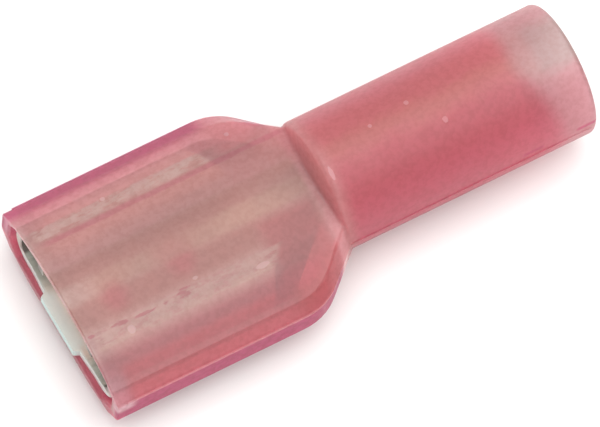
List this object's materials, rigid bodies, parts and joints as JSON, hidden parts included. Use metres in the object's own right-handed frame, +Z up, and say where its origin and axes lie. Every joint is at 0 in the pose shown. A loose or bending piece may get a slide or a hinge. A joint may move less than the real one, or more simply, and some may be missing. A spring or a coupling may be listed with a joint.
{
  "type": "insulated female spade terminal",
  "caption": "Fully insulated female quick-disconnect: translucent pink nylon housing over a rolled tinned receptacle, with a round crimp barrel for a thin wire.",
  "frame": {"origin": "under the middle of the part, on the plane that the round barrel lies on", "axes": "+X from the tab mouth to the wire entry, +Y across the flat tab box, +Z up from the flat underside to the crowned top"},
  "size_m": [0.021, 0.0088, 0.0052],
  "materials": {
    "pink_nylon": "satin translucent moulded nylon",
    "tinned_brass": "matt tin plate",
    "copper": "drawn tube"
  },
  "bodies": {
    "root": {"housing": "pink_nylon", "receptacle": "tinned_brass", "crimp_sleeve": "copper"}
  },
  "joints": []
}
